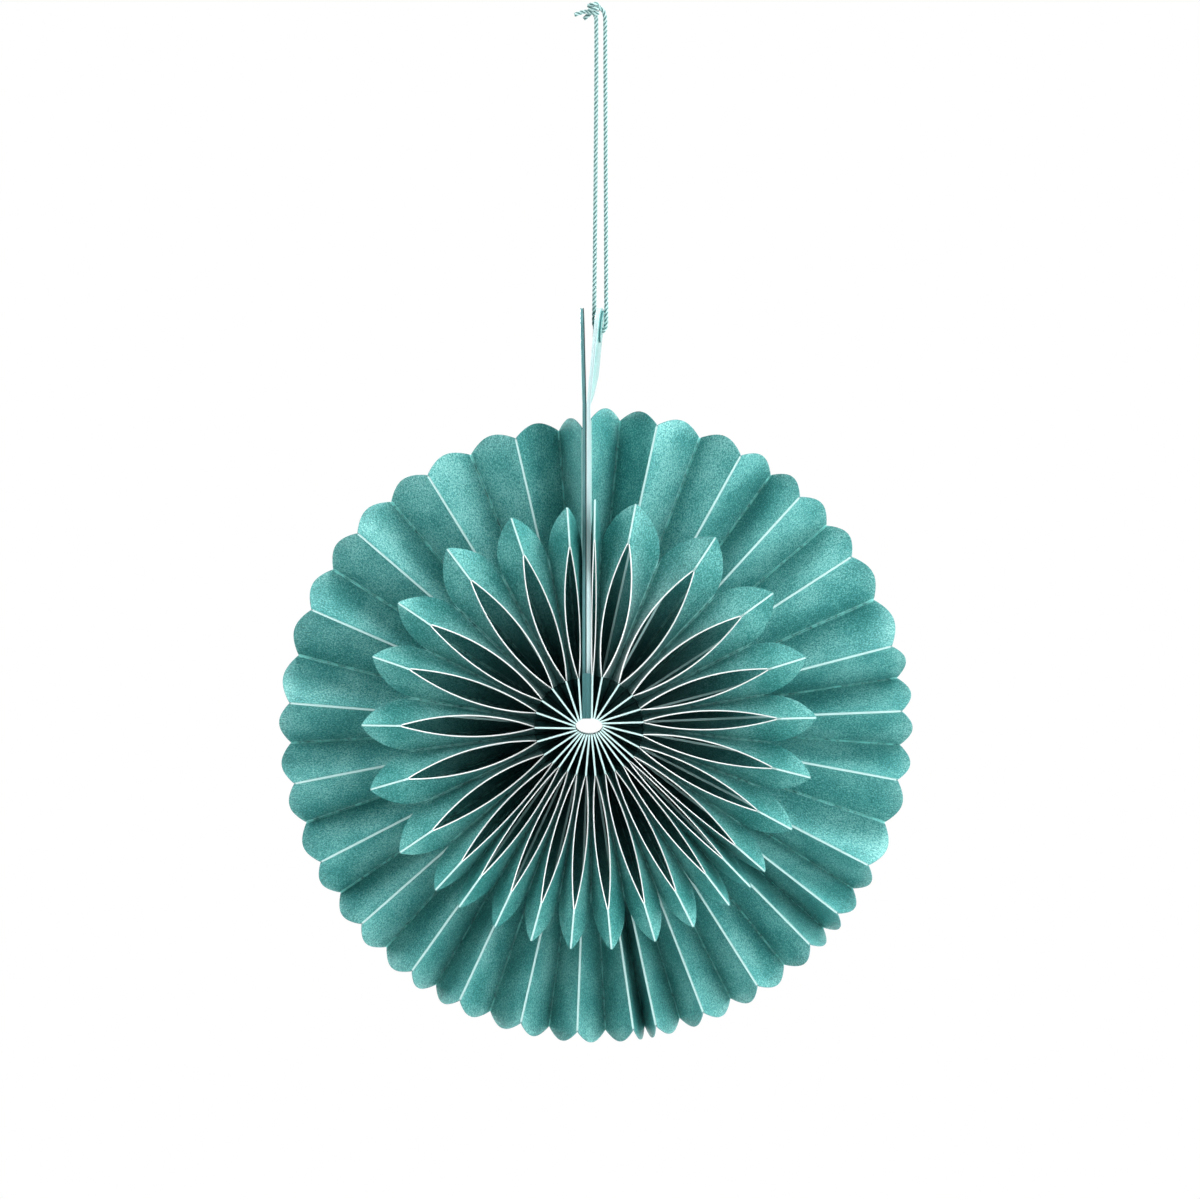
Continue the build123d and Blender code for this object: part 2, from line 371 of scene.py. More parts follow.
@dataclass(frozen=True)
class TwistedCotton:
    """Dyed cotton cord, spun and plied: matt, slightly fuzzy strands with fibres that run along them."""

    name: str = "plied_cotton_cord"
    dark: str = "#8fb6b4"
    body: str = "#abd0ce"
    pale: str = "#c6e4e2"
    tone_places: tuple = (0.3, 0.5, 0.7)
    # painted shade: the colour the strands darken to in the grooves between them
    groove_shade: str = "#45706f"
    fibre_mm: float = 0.3
    groove_mm: float = 0.53
    crown_mm: float = 0.71
    roughness: float = 0.85
    sheen: float = 0.3
    sheen_roughness: float = 0.5
    bump: float = 0.5
    bump_mm: float = 0.1

    def material(self) -> Material:
        """Build the cord.

        Returns:
            A material that reads Object coordinates, with painted shade darkening it in the grooves between the
            strands.
        """
        material, tree, shader = new_material(self.name)
        fibre = noise(tree, self.fibre_mm, 3.0)
        tones = three_tones(tree, fibre, self.tone_places, (self.dark, self.body, self.pale))
        from_axis = add_node(tree, "ShaderNodeAttribute", {"attribute_name": "axis_mm"}).outputs["Fac"]
        crown = mapped(tree, from_axis, self.groove_mm, self.crown_mm, smooth=True)
        fill(tree, shader, {
            "Base Color": mixed(tree, crown, self.groove_shade, tones), "Roughness": self.roughness, "IOR": FIBRE_IOR,
            "Sheen Weight": self.sheen, "Sheen Roughness": self.sheen_roughness,
            "Normal": raised(tree, fibre, self.bump, self.bump_mm),
        })
        return material


@dataclass(frozen=True)
class GreyBoard:
    """Pressed grey board inside the cover cards, its cut edge rubbed with the cover's dye: matt and fibrous."""

    name: str = "dyed_grey_board"
    dark: str = "#37696c"
    pale: str = "#5f9194"
    fibre_mm: float = 0.8
    drawn: tuple = (3.0, 0.5, 0.25)
    roughness: float = 0.7

    def material(self) -> Material:
        """Build the board.

        Returns:
            A material with fibres drawn out along the card's edge.
        """
        material, tree, shader = new_material(self.name)
        fibre = noise(tree, self.fibre_mm, 3.0, drawn=self.drawn)
        fill(tree, shader, {
            "Base Color": mixed(tree, fibre, self.dark, self.pale), "Roughness": self.roughness, "IOR": FIBRE_IOR})
        return material


def ease(value: float, start: float, end: float) -> float:
    """Rise smoothly from 0 at the start to 1 at the end."""
    share = max(0.0, min(1.0, (value - start) / (end - start)))
    return share * share * (3.0 - 2.0 * share)


def activate(piece: Object) -> None:
    """Select one piece alone and make it the active one."""
    bpy.ops.object.select_all(action="DESELECT")
    piece.select_set(True)
    bpy.context.view_layer.objects.active = piece


def dress(piece: Object, *finishes: Material) -> None:
    """Give a piece its finishes, in the order of their numbers."""
    piece.data.materials.clear()
    for finish in finishes:
        piece.data.materials.append(finish)


def join(pieces: list[Object], name: str) -> Object:
    """Join meshes into one.

    Args:
        pieces: The meshes; the first one takes the rest.
        name: The name of the joined piece.

    Returns:
        The joined piece.
    """
    activate(pieces[0])
    for piece in pieces:
        piece.select_set(True)
    bpy.ops.object.join()
    pieces[0].name = pieces[0].data.name = name
    return pieces[0]


def apply_modifier(piece: Object, kind: str, **settings) -> None:
    """Add a modifier to a piece and apply it.

    Args:
        piece: The mesh object.
        kind: The modifier's type.
        **settings: The modifier's properties.
    """
    activate(piece)
    modifier = piece.modifiers.new(kind.lower(), kind)
    for name, value in settings.items():
        setattr(modifier, name, value)
    bpy.ops.object.modifier_apply(modifier=modifier.name)


def smooth_shade(piece: Object, degrees: float) -> None:
    """Shade a piece smooth except over edges sharper than an angle."""
    activate(piece)
    bpy.ops.object.shade_smooth_by_angle(angle=math.radians(degrees))


def soften(piece: Object, width: float) -> None:
    """Round a piece's sharp edges by a width."""
    apply_modifier(piece, "BEVEL", width=width, segments=2, limit_method="ANGLE", angle_limit=math.radians(40))


def lower_arc(at: float, a: tuple, b: tuple, c: tuple) -> float:
    """The height of the lower half of a circle through three points.

    Args:
        at: Where the height is taken.
        a, b, c: The points.

    Returns:
        The height.
    """
    (ax, ay), (bx, by), (cx, cy) = a, b, c
    d = 2 * (ax * (by - cy) + bx * (cy - ay) + cx * (ay - by))
    a2, b2, c2 = ax * ax + ay * ay, bx * bx + by * by, cx * cx + cy * cy
    x = (a2 * (by - cy) + b2 * (cy - ay) + c2 * (ay - by)) / d
    y = (a2 * (cx - bx) + b2 * (ax - cx) + c2 * (bx - ax)) / d
    radius = math.hypot(ax - x, ay - y)
    return y - math.sqrt(max(radius * radius - (at - x) ** 2, 0.0))


def card_angles(middle: Vector, radius: float) -> tuple[float, float]:
    """Where the outer faces of the right and left cards cross a circle, clockwise from the top."""
    side = HUB.x + CARD_SIDE - middle.x
    right = math.degrees(math.asin((side + CARD) / radius))
    left = math.degrees(math.asin((side - CARD) / radius))
    return right, 360 + left


def with_midpoints(angles: list[float]) -> list[float]:
    """The same angles with one more midway between each two."""
    row = [angles[0]]
    for before, after in zip(angles, angles[1:]):
        row += [(before + after) / 2, after]
    return row


def hub_points() -> list[Vector]:
    """Where the sheets' inner edges close round the flattened hub, evenly from the right card to the left card."""
    first = math.asin((CARD_SIDE + CARD) / HUB_WIDE)
    last = 2 * math.pi + math.asin((CARD_SIDE - CARD) / HUB_WIDE)
    fine = []
    for i in range(HUB_STEPS + 1):
        turn = first + (last - first) * i / HUB_STEPS
        fine.append(HUB + Vector((HUB_WIDE * math.sin(turn), 0.0, HUB_HIGH * math.cos(turn))))
    runs = [0.0]
    for before, after in zip(fine, fine[1:]):
        runs.append(runs[-1] + (after - before).length)
    even = [runs[-1] * step / LEAVES - 1e-9 for step in range(LEAVES + 1)]
    return [fine[bisect_left(runs, run)] for run in even]


@dataclass
class FanLayer:
    """One layer of sheets, each die-cut flat and then opened between its ridge and its valley."""

    piece_name: str
    node: str
    slot: str
    middle: float
    width: float
    end_depth: float
    reach: float
    rows: int
    # 0 where a ridge lies on each card, and 1 where a valley does
    first_ridge: int
    # how far the end at the left card hangs down, and between which angles that sets in
    left_drop: float
    drop_arc: tuple
    columns: int = 0
    thickness: float = 0.26
    # how far a face bulges between its folds, as a share of the way across
    bow: float = 0.05
    # how far two sheets overlap in a valley, where the real ones are glued
    lap: float = 0.035
    clearance: float = 0.005

    def folds(self) -> list[Vector]:
        """Where the folds end, from the right card round to the left card."""
        raise NotImplementedError

    def fold_end(self, middle: Vector, radius: float, degrees: float) -> Vector:
        """A point on a circle by its angle clockwise from the top, hung lower at the left card."""
        turn, drop = math.radians(degrees), self.left_drop * ease(degrees, *self.drop_arc)
        return middle + Vector((radius * math.sin(turn), 0.0, radius * math.cos(turn) - drop))

    def ridge_first(self, step: int) -> bool:
        """Whether a sheet starts at a ridge, counted clockwise."""
        return step % 2 == self.first_ridge

    def cut(self, u: float, w: float) -> tuple[float, float, float, float]:
        """The die's outline.

        Args:
            u: Share of the way from the hub edge to the outer edge.
            w: Place across the sheet, from -1 at the back edge to 1 at the front edge.

        Returns:
            Distance from the hub edge, height over the middle line, and distances to the lens and the outer cut.
        """
        raise NotImplementedError

    def edge(self, x: float) -> float:
        """Half the depth of the sheet at a distance from the hub edge."""
        return self.width / 2 + (self.end_depth - self.width) / 2 * min(x / self.reach, 1.0)

    def crease(self, x: float) -> float:
        """How far from the middle line a sheet leaves its neighbour, at a distance from the hub edge."""
        return self.end_depth / 2 * x / self.reach

    def beside_fold(self, fold: int, ridge: bool) -> float:
        """How far a sheet's middle lies beside a fold; in a valley two sheets lap, so that no light shows."""
        glued = not ridge and 0 < fold < LEAVES
        return self.thickness / 2 + (-self.lap if glued else self.clearance)

    def flat_sheet(self) -> Object:
        """Cut one sheet flat, and note how far each point lies from the cuts, the valley and the hub edge.

        Returns:
            A grid in the XY plane: x from the hub edge outwards, y towards the front, in millimetres.
        """
        bpy.ops.mesh.primitive_grid_add(x_subdivisions=self.columns, y_subdivisions=self.rows, size=2.0)
        sheet = bpy.context.object
        cut_mm = sheet.data.attributes.new("cut_mm", "FLOAT_VECTOR", "POINT")
        fold_mm = sheet.data.attributes.new("fold_mm", "FLOAT_VECTOR", "POINT")
        for vertex in sheet.data.vertices:
            x, y, lens, end = self.cut((vertex.co.x + 1) / 2, vertex.co.y)
            crease = self.crease(min(x, self.reach))
            vertex.co = (x, y, 0.0)
            cut_mm.data[vertex.index].vector = (lens, end, 0.0)
            fold_mm.data[vertex.index].vector = (y + crease, 0.0, x)
        return sheet

    def opened(self, flat: Object, step: int, hub: list[Vector], folds: list[Vector]) -> Object:
        """Copy the flat sheet and open it between two folds.

        Args:
            flat: The flat sheet.
            step: The sheet's number, clockwise from the right card.
            hub: Points of the hub.
            folds: Ends of the folds.

        Returns:
            The opened sheet, in metres in the object's frame.
        """
        sheet = flat.copy()
        sheet.data = flat.data.copy()
        bpy.context.collection.objects.link(sheet)
        rim = (folds[step] + folds[step + 1]) / 2 - hub[step]
        square = rim.cross(Vector((0.0, -1.0, 0.0))).normalized()
        first = square * self.beside_fold(step, self.ridge_first(step))
        last = square * self.beside_fold(step + 1, not self.ridge_first(step))
        first_hub, first_end = hub[step] + first, folds[step] + first
        next_hub, next_end = hub[step + 1] - last, folds[step + 1] - last
        turn = 1.0 if self.ridge_first(step) else -1.0
        for vertex in sheet.data.vertices:
            x, y = vertex.co.x, vertex.co.y
            crease = max(self.crease(min(x, self.reach)), 1e-6)
            s = max(-1.0, min(1.0, y / crease))
            share = 0.5 - 0.5 * turn * s * (1.0 + self.bow * (1.0 - s * s))
            out = x / self.reach
            start = first_hub.lerp(first_end, out)
            finish = next_hub.lerp(next_end, out)
            point = start.lerp(finish, share)
            vertex.co = (point.x * MM, (self.middle - y) * MM, point.z * MM)
        return sheet

    def build(self, paper: Material, core: Material) -> Object:
        """Cut, open, thicken and dress the whole layer.

        Args:
            paper: Finish of the two faces.
            core: Finish of the cut edges.

        Returns:
            The layer as one piece.
        """
        flat = self.flat_sheet()
        hub, folds = hub_points(), self.folds()
        sheets = [self.opened(flat, step, hub, folds) for step in range(LEAVES)]
        bpy.data.objects.remove(flat)
        layer = join(sheets, self.piece_name)
        dress(layer, paper, core)
        apply_modifier(layer, "SOLIDIFY", thickness=self.thickness * MM, offset=0.0, material_offset_rim=1)
        smooth_shade(layer, 40)
        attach(layer, "root")
        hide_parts(self.node)
        return layer


@dataclass
class RearLayer(FanLayer):
    """The large layer behind, whose sheets end in scallops."""

    rim_radius: float = 96.4
    # height of the scallop, and how much of a wave there is in its arc
    scallop: float = 3.6
    wave: float = 0.35
    card_valleys: tuple = (4.6, 353.1)
    ridges: list[float] = field(default_factory=lambda: [
        11.6, 28.3, 41.8, 56.6, 75.0, 87.3, 100.2, 117.1, 127.8, 135.6, 148.1, 159.4, 168.6,
        172.9, 183.4, 194.1, 206.3, 216.8, 229.7, 243.6, 259.1, 274.2, 292.2, 309.1, 326.8, 344.9,
    ])

    def folds(self) -> list[Vector]:
        """Where the folds end, round the notches, with a valley close to each card."""
        right, left = card_angles(RIM_CENTRE, self.rim_radius)
        angles = with_midpoints([right] + self.ridges + [left])
        angles[1], angles[-2] = self.card_valleys
        return [self.fold_end(RIM_CENTRE, self.rim_radius, angle) for angle in angles]

    def cut(self, u: float, w: float) -> tuple[float, float, float, float]:
        """The scalloped outline; see the base class for the arguments."""
        half = self.end_depth / 2
        radius = (half * half + self.scallop * self.scallop) / (2 * self.scallop)
        round_end = math.sqrt(radius * radius - (w * half) ** 2) - (radius - self.scallop)
        wavy_end = self.scallop * (0.5 + 0.5 * math.cos(math.pi * w))
        end = self.reach + round_end + (wavy_end - round_end) * self.wave
        x = u * end
        return x, w * self.edge(x), FAR, end - x


@dataclass
class PetalLayer(FanLayer):
    """The smaller layer in front, whose sheets end in half petals and have a lens cut from the ridge."""

    tip_radius: float = 71.0
    valley: float = 50.6
    # where the lens starts, is deepest and ends, and how deep it is there as a share of the face
    lens_in: float = 13.1
    lens_middle: float = 31.6
    lens_out: float = 55.1
    lens_share: float = 0.62
    # how far out the half petal's arc crosses the sheet's middle line
    end_bulge: float = 0.75
    ridges: list[float] = field(default_factory=lambda: [
        1.5, 11.9, 33.8, 54.1, 72.4, 87.8, 103.0, 116.9, 130.0, 135.8, 143.3, 154.1, 164.4, 175.6,
        185.9, 196.1, 205.9, 216.1, 223.3, 236.3, 253.9, 270.3, 287.9, 302.9, 321.4, 340.0, 354.5,
    ])
    first_valley: float = 3.4
    # how far the bottom petals are pushed aside and up, and between which angles that sets in and ends
    low_shift: tuple = (1.6, 0.0, 1.3)
    low_start: tuple = (116.0, 152.0)
    low_end: tuple = (205.0, 240.0)
    # the outer cut's slant: a point's distance to it as a share of its height over it
    end_slant: float = 0.7
    # how close to the end of the valley a point is bare, along and across the sheet
    bare_end: float = 0.1

    def __post_init__(self) -> None:
        """Give the grid a column between each two of the sheet's stations."""
        self.columns = len(self.stations()) - 1

    def folds(self) -> list[Vector]:
        """Where the folds end, round the petals' tips: shut at the right card, and pushed up below."""
        right, left = card_angles(HUB, self.tip_radius)
        angles = [right] + with_midpoints(self.ridges) + [left]
        angles[2] = self.first_valley
        points = []
        for angle in angles:
            low = ease(angle, *self.low_start) - ease(angle, *self.low_end)
            points.append(self.fold_end(HUB, self.tip_radius, angle) + Vector(self.low_shift) * low)
        return points

    def stations(self) -> list[float]:
        """Distances of the grid's columns from the hub edge, close together at the corners of the cut."""
        near, nearer = 0.12, 0.06
        lens = [self.lens_in + near + (self.valley - self.lens_in - 0.4) * i / 16 for i in range(17)]
        tip = [self.lens_out + (self.reach - self.lens_out) * math.sin(math.pi / 2 * i / 13) for i in range(1, 14)]
        return [
            0.0, self.lens_in / 3, self.lens_in * 2 / 3, self.lens_in - near, *lens,
            self.valley - nearer, self.valley + nearer, (self.valley + self.lens_out) / 2 - 1.0,
            (self.valley + self.lens_out) / 2 + 0.6, self.lens_out - 0.1, *tip,
        ]

    def front(self, x: float) -> float:
        """Height of the front edge, which drops to the lens between its two ends."""
        if not self.lens_in < x < self.lens_out:
            return self.edge(x)
        return lower_arc(
            x, (self.lens_out, self.crease(self.lens_out)),
            (self.lens_middle, self.crease(self.lens_middle) * (1 - 2 * self.lens_share)),
            (self.lens_in, self.crease(self.lens_in)),
        )

    def back(self, x: float) -> float:
        """Height of the back edge, which climbs along the half petal past the end of the valley."""
        if x < self.valley:
            return -self.edge(x)
        return lower_arc(
            x, (self.valley, -self.crease(self.valley)),
            (self.valley + self.end_bulge * (self.reach - self.valley), 0.0),
            (self.reach, self.end_depth / 2),
        )

    def cut(self, u: float, w: float) -> tuple[float, float, float, float]:
        """The petal's outline; see the base class for the arguments."""
        x = self.stations()[round(u * self.columns)]
        front, back = self.front(x), self.back(x)
        y = back + (front - back) * (w + 1) / 2
        lens, end = FAR, FAR
        if self.lens_in < x < self.lens_out:
            lens = front - y
        if x > self.valley:
            end = (y - back) * self.end_slant
        if abs(x - self.valley) < self.bare_end and y < -self.crease(x) + self.bare_end:
            lens = 0.0
        return x, y, lens, end


@dataclass
class CoverCard:
    """A stiff cover of three layers at one end of the stack, with a tab above the rim."""

    side: Side
    piece_name: str
    node: str
    lean: float
    twist: float
    # half the gap between the cards, the layers' thicknesses, how far the board lies in and under the inner skin
    inner: float = 0.02
    board: float = 0.72
    skin: float = 0.28
    recess: float = 0.12
    sink: float = 0.01
    softened: float = 0.06
    edge_slope: float = 0.6
    foot: float = HUB_HIGH * math.sqrt(1 - (CARD / HUB_WIDE) ** 2)
    step: float = 16.5
    bend: float = 101.0
    # heights over the bend where the card is divided, so that it can bend and twist there
    divided: tuple = (-3.0, 0.0, 3.0, 9.0, 15.0)
    twist_run: float = 6.0
    top: float = 131.0
    tab: float = 20.0
    corner: float = 6.0
    rim_notch: float = 96.4
    petal_middle: float = -10.25
    hole_height: float = 123.7
    hole_radius: float = 1.1
    patch_radius: float = 5.0
    patch_depth: float = 0.6
    patch_rise: float = 1.6
    patch_softened: float = 0.12

    def outline(self, inset: float) -> list[tuple[float, float]]:
        """The card's outline seen from its side.

        Args:
            inset: How far the outline is drawn in.

        Returns:
            Points as depth towards the back and height over the hub, in millimetres.
        """
        half, tab = STACK / 2 - inset, self.tab / 2 - inset
        turns = [math.pi / 2 * turn / 8 for turn in range(9)]
        corners = [(self.corner * math.cos(turn), self.corner * math.sin(turn)) for turn in turns]
        reach = self.tab / 2 - self.corner
        tip = self.top - inset - self.corner
        right = [(reach - inset + y, tip + z) for y, z in corners]
        left = [(-reach + inset - y, tip + z) for y, z in reversed(corners)]
        front = self.petal_middle + inset
        return [
            (-half, self.foot), (half, self.foot), (half, self.rim_notch), (tab, self.bend + 1.0),
            *right, *left,
            (-tab, self.bend), (front, self.bend), (front, self.step), (-half, self.step),
        ]

    def slab(self, inner: float, thickness: float, inset: float) -> Object:
        """Cut one layer of the card.

        Args:
            inner: Distance of its inner face from the joint between the two cards.
            thickness: Its thickness.
            inset: How far its outline is drawn in.

        Returns:
            The layer as a flat slab in millimetres, at the hub.
        """
        points = self.outline(inset)
        bpy.ops.mesh.primitive_circle_add(vertices=len(points), fill_type="NGON")
        slab = bpy.context.object
        for vertex, (y, z) in zip(slab.data.vertices, points):
            vertex.co = (self.side.value * inner, y, z)
        bpy.ops.object.mode_set(mode="EDIT")
        bpy.ops.mesh.select_all(action="SELECT")
        bpy.ops.mesh.extrude_region_move(
            TRANSFORM_OT_translate={"value": (self.side.value * thickness, 0.0, 0.0)})
        for height in (self.step, *(self.bend + rise for rise in self.divided)):
            bpy.ops.mesh.select_all(action="SELECT")
            bpy.ops.mesh.bisect(plane_co=(0.0, 0.0, height + self.sink), plane_no=(0.0, 0.0, 1.0))
        bpy.ops.mesh.select_all(action="SELECT")
        bpy.ops.mesh.normals_make_consistent(inside=False)
        bpy.ops.object.mode_set(mode="OBJECT")
        self.drill(slab)
        soften(slab, self.softened)
        return slab

    def plug(self, sides: int, radius: float, depth: float, place: tuple) -> Object:
        """A cylinder that points through the tab, its middle at a place."""
        bpy.ops.mesh.primitive_cylinder_add(
            vertices=sides, radius=radius, depth=depth, location=place, rotation=(0.0, math.pi / 2, 0.0))
        return bpy.context.object

    def drill(self, slab: Object) -> None:
        """Make the cord's hole through a layer of the card that has one."""
        if self.side is not Side.RIGHT:
            return
        drill = self.plug(24, self.hole_radius, CARD * 6, (0.0, 0.0, self.hole_height))
        apply_modifier(slab, "BOOLEAN", object=drill, operation="DIFFERENCE", solver="EXACT")
        bpy.data.objects.remove(drill)

    def round_patch(self, middle: float) -> Object:
        """Cut a round patch over the hole, its middle at a distance from the joint of the cards; its edge takes the
        darker board, painted shade beside the cord.
        """
        place = (middle, 0.0, self.hole_height + self.patch_rise)
        round_patch = self.plug(48, self.patch_radius, self.patch_depth, place)
        bpy.ops.object.transform_apply(location=True, rotation=True, scale=True)
        self.drill(round_patch)
        soften(round_patch, self.patch_softened)
        return round_patch

    def build(self, paper: Material, board: Material, low_edge_shade: Material, inner_edge: Material) -> Object:
        """Laminate, lean and dress the card.

        Args:
            paper: Finish of the two skins.
            board: Finish of the cut edges above the step.
            low_edge_shade: Finish of the cut edges below the step and of the patches' edges, a darker board that is
                painted shade near the hub and beside the cord.
            inner_edge: Finish of the inner skin's cut edge above the step; on the left card a near-black painted
                shadow of the gap between the cards.

        Returns:
            The card as one piece.
        """
        outer = CARD - self.inner
        skins = [self.slab(self.inner, self.skin, 0.0), self.slab(outer - self.skin, self.skin, 0.0)]
        middle = self.slab(self.inner + self.skin - self.sink, self.board, self.recess)
        patches = []
        if self.side is Side.RIGHT:
            half = self.patch_depth / 2
            patches = [self.round_patch(self.inner - half), self.round_patch(outer + half)]
        for slab in skins + patches + [middle]:
            # on the left card the inner skin's cut edge takes a near-black painted shadow of the gap between the
            # cards
            dress(slab, paper, inner_edge if slab is skins[0] else board, low_edge_shade)
            for face in slab.data.polygons:
                edge = abs(face.normal.x) < self.edge_slope
                # cut edges below the step and the patches' edges take the darker board, painted shade
                low = slab in patches or face.center.z < self.step + self.skin
                face.material_index = (2 if low else 1) if edge else 0
        piece = join(skins + patches + [middle], self.piece_name)
        for vertex in piece.data.vertices:
            x, y, z = vertex.co
            over = max(z - self.bend, 0.0)
            x += math.tan(math.radians(self.lean)) * over
            x += math.tan(math.radians(self.twist)) * (y + self.tab / 2) * min(over / self.twist_run, 1.0)
            vertex.co = (Vector((x + CARD_SIDE, y, z)) + HUB) * MM
        smooth_shade(piece, 35)
        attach(piece, "root")
        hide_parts(self.node)
        return piece


@dataclass
class HangingCord:
    """The plied cord that loops through the tab, and the knot that ties its two ends."""

    diameter: float = 1.3
    strands: int = 3
    strand: float = 0.74
    twist_radius: float = 0.34
    # the real lay is about 3 mm, too fine to show in a picture this size, so it is drawn coarser
    lay: float = 4.5
    lay_steps: int = 14
    length: float = 204.5
    route: tuple = (
        (-1.5, 0.0, -1.75), (-1.3, 0.0, -9.5), (-2.05, 0.0, -93.0), (-2.2, 0.0, -100.85),
        (1.7, 0.0, -100.85), (1.68, 0.0, -93.0), (1.38, 0.0, -7.0), (1.35, 0.0, 0.8), (-0.7, 0.0, 0.8),
    )
    knot_centre: tuple = (-2.4, 0.0, 2.3)
    winding_radius: float = 1.5
    # the winding's first angle and its step in degrees, and how far it sinks at each step
    winding: tuple = (20, 45, 0.19)
    winding_steps: int = 18

    def smooth_line(self, points: tuple | list) -> list[Vector]:
        """Read points along a smooth spline.

        Args:
            points: The spline's control points, in millimetres.

        Returns:
            Points along the spline, in metres.
        """
        curve = bpy.data.curves.new("cord_route", "CURVE")
        curve.dimensions = "3D"
        curve.resolution_u = 24
        spline = curve.splines.new("NURBS")
        spline.points.add(len(points) - 1)
        for control, (x, y, z) in zip(spline.points, points):
            control.co = (x * MM, y * MM, z * MM, 1.0)
        spline.order_u = 3
        spline.use_endpoint_u = True
        holder = bpy.data.objects.new("cord_route", curve)
        bpy.context.collection.objects.link(holder)
        mesh = bpy.data.meshes.new_from_object(holder)
        line = [vertex.co.copy() for vertex in mesh.vertices]
        bpy.data.objects.remove(holder)
        bpy.data.meshes.remove(mesh)
        bpy.data.curves.remove(curve)
        return line

    def spaced(self, line: list[Vector], spacing: float) -> list[Vector]:
        """Points at even distances along a line, in metres."""
        row, left = [line[0]], spacing
        for before, after in zip(line, line[1:]):
            run = (after - before).length
            done = 0.0
            while run - done >= left:
                done += left
                row.append(before.lerp(after, done / run))
                left = spacing
            left -= run - done
        row.append(line[-1])
        return row

    def plied(self, lines: list[list[Vector]], name: str) -> Object:
        """Lay the strands round each line.

        Args:
            lines: The lines that the cord follows, in metres.
            name: The piece's name.

        Returns:
            The strands as one mesh.
        """
        curve = bpy.data.curves.new(name, "CURVE")
        curve.dimensions = "3D"
        curve.bevel_depth = self.strand / 2 * MM
        curve.bevel_resolution = 2
        curve.use_fill_caps = True
        for line in lines:
            row = self.spaced(line, self.lay * MM / self.lay_steps)
            for ply in range(self.strands):
                spline = curve.splines.new("POLY")
                spline.points.add(len(row) - 1)
                side = Vector((0.0, 1.0, 0.0))
                run = 0.0
                for index, point in enumerate(row):
                    ahead = (row[min(index + 1, len(row) - 1)] - row[max(index - 1, 0)]).normalized()
                    side = (side - ahead * side.dot(ahead)).normalized()
                    other = ahead.cross(side)
                    if index:
                        run += (point - row[index - 1]).length
                    turn = 2 * math.pi * (run / (self.lay * MM) + ply / self.strands)
                    off = (side * math.cos(turn) + other * math.sin(turn)) * (self.twist_radius * MM)
                    spline.points[index].co = (*(point + off), 1.0)
        piece = bpy.data.objects.new(name, curve)
        bpy.context.collection.objects.link(piece)
        activate(piece)
        bpy.ops.object.convert(target="MESH")
        piece = bpy.context.view_layer.objects.active
        piece.name = name
        self.mark_grooves(piece, lines)
        smooth_shade(piece, 60)
        return piece

    def mark_grooves(self, piece: Object, lines: list[list[Vector]]) -> None:
        """Write each point's distance from the cord's middle line, in millimetres, for the finish to read.

        Args:
            piece: The strands.
            lines: The lines that the cord follows, in metres.
        """
        points = [point for line in lines for point in self.spaced(line, 0.1 * MM)]
        tree = KDTree(len(points))
        for index, point in enumerate(points):
            tree.insert(point, index)
        tree.balance()
        axis_mm = piece.data.attributes.new("axis_mm", "FLOAT", "POINT")
        for vertex in piece.data.vertices:
            axis_mm.data[vertex.index].value = tree.find(vertex.co)[2] / MM

    def knot_lines(self) -> list[list[Vector]]:
        """The two ends as they wind round each other and leave as tails."""
        cx, cy, cz = self.knot_centre
        wound = [(-0.5, 0.0, 0.8)]
        start, step, sink = self.winding
        for turn in range(self.winding_steps):
            angle, radius = -math.radians(start + step * turn), self.winding_radius
            wound.append((cx + radius * math.cos(angle), cy + radius * math.sin(angle), cz - sink * turn))
        wound += [(-4.6, -0.3, -0.1), (-6.4, 0.1, -0.5), (-8.2, -0.2, -1.2)]
        core = [
            (-1.5, 0.0, -2.2), (-1.9, 0.0, -0.9), (-2.6, 0.0, 0.4), (-2.7, -0.1, 1.9), (-3.1, 0.6, 1.6),
            (-3.0, 0.6, 0.0), (-3.8, 0.7, -1.2), (-4.5, 0.7, -1.7), (-5.3, 0.8, -2.4),
        ]
        return [self.smooth_line(wound), self.smooth_line(core)]

    def build(self, cotton: Material) -> list[Object]:
        """Args:
            cotton: The cord's finish.

        Returns:
            The cord and the knot.
        """
        line = self.smooth_line(self.route)
        cord = self.plied([line], "plied_cord")
        knot = self.plied(self.knot_lines(), "overhand_knot")
        for piece, node in ((cord, "hanging_cord"), (knot, "cord_knot")):
            dress(piece, cotton)
            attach(piece, "root")
            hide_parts(node)
        return [cord, knot]


